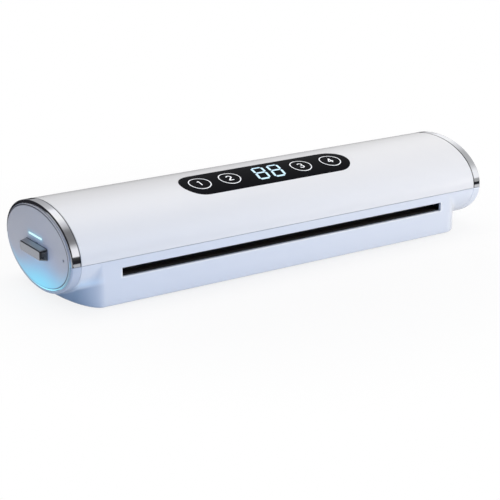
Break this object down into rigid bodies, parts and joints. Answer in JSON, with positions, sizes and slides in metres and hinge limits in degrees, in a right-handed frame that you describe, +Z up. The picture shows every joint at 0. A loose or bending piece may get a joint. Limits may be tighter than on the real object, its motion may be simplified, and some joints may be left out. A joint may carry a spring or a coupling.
{
  "type": "vacuum sealer",
  "caption": "Countertop vacuum sealer: white oval bar with a hinged lid, bag slot, chrome end arches, side lock lever and a black touch panel with lit digits.",
  "frame": {"origin": "on the table plane under the feet, at the centre of the object's outline seen from above, lever included", "axes": "+X along the bar to its right-hand end, -Y out of the bag slot's front, +Z up"},
  "size_m": [0.3978, 0.112, 0.0719],
  "materials": {
    "white_shell": "moulded gloss white ABS",
    "bottom_grey": "fine-textured moulded plastic",
    "chrome": "polished chrome plate",
    "satin_silver": "satin anodised plate",
    "glow_light": "lit light-guide plastic",
    "lit_bar": "lit light-guide plastic",
    "panel_black": "satin black film over plastic",
    "key_black": "satin black key cap with a printed ring",
    "digit_light": "lit display segments",
    "module_black": "black moulded plastic",
    "board_green": "solder-masked circuit board",
    "foam_black": "closed-cell foam seal",
    "silicone_grey": "moulded silicone",
    "strip_black": "black moulded silicone",
    "tray_grey": "dark moulded plastic",
    "cover_grey": "light grey moulded plastic",
    "acetal_white": "natural acetal",
    "steel": "zinc-plated steel",
    "heater_black": "heat-resistant moulded plastic",
    "strip_metal": "resistance strip",
    "tape_dark": "dark coated glass-cloth release tape",
    "core_iron": "varnished laminations",
    "pin_brass": "plated brass pins",
    "rubber_foot": "soft rubber"
  },
  "bodies": {
    "base": {"base_housing": "white_shell", "bottom_plate": "bottom_grey", "power_inlet": "module_black", "board_parts": "module_black", "supply_board": "board_green", "lower_seal": "foam_black", "vacuum_hose": "silicone_grey", "vacuum_tray": "tray_grey", "pump_head": "tray_grey", "pump_cradle": "tray_grey", "bay_cover": "cover_grey", "release_valve": "acetal_white", "bottom_screws": "steel", "cover_screws": "steel", "hinge_pins": "steel", "pump_motor": "steel", "heater_bar": "heater_black", "heating_strip": "strip_metal", "release_tape": "tape_dark", "transformer": "core_iron", "inlet_pins": "pin_brass", "rubber_feet": "rubber_foot"},
    "lid": {"lid_shell": "white_shell", "left_chrome_arch": "chrome", "right_chrome_arch": "chrome", "left_end_disc": "satin_silver", "right_end_disc": "satin_silver", "left_glow_ring": "glow_light", "right_glow_ring": "glow_light", "lit_bar_lens": "lit_bar", "control_panel": "panel_black", "display_digits": "digit_light", "display_block": "module_black", "control_board": "board_green", "key_switches": "module_black", "lid_liner": "cover_grey", "liner_screws": "steel", "shaft_bearings": "acetal_white", "return_springs": "steel"},
    "lock_lever": {"lock_lever": "chrome", "cam_shaft": "steel", "press_cams": "acetal_white", "shaft_clip": "steel"},
    "press_frame": {"press_frame": "tray_grey", "press_strip": "strip_black", "upper_seal": "foam_black", "frame_bolts": "steel"},
    "key_1": {"key_cap_1": "key_black"},
    "key_2": {"key_cap_2": "key_black"},
    "key_3": {"key_cap_3": "key_black"},
    "key_4": {"key_cap_4": "key_black"}
  },
  "joints": [
    {"name": "lid_hinge", "type": "hinge", "parent": "base", "child": "lid", "pos_m": [0, 0.05, 0.0379], "axis": [-1, 0, 0], "range_deg": [0, 65]},
    {"name": "lever_turn", "type": "hinge", "parent": "lid", "child": "lock_lever", "pos_m": [0, 0, 0.0379], "axis": [1, 0, 0], "range_deg": [0, 90]},
    {"name": "press_slide", "type": "slide", "parent": "lid", "child": "press_frame", "axis": [0, 0, -1], "range_m": [0, 0.0054], "stiffness_N_per_m": 300, "springref_m": -0.004, "deforming": ["return_springs"]},
    {"name": "key_1_press", "type": "slide", "parent": "lid", "child": "key_1", "axis": [0, 0.1875, -0.9823], "range_m": [0, 0.0007], "stiffness_N_per_m": 400, "springref_m": -0.0004},
    {"name": "key_2_press", "type": "slide", "parent": "lid", "child": "key_2", "axis": [0, 0.1875, -0.9823], "range_m": [0, 0.0007], "stiffness_N_per_m": 400, "springref_m": -0.0004},
    {"name": "key_3_press", "type": "slide", "parent": "lid", "child": "key_3", "axis": [0, 0.1875, -0.9823], "range_m": [0, 0.0007], "stiffness_N_per_m": 400, "springref_m": -0.0004},
    {"name": "key_4_press", "type": "slide", "parent": "lid", "child": "key_4", "axis": [0, 0.1875, -0.9823], "range_m": [0, 0.0007], "stiffness_N_per_m": 400, "springref_m": -0.0004}
  ],
  "couplings": [
    {"joint": "lever_turn", "follows": "press_slide", "rad_per_m": 290.89}
  ]
}
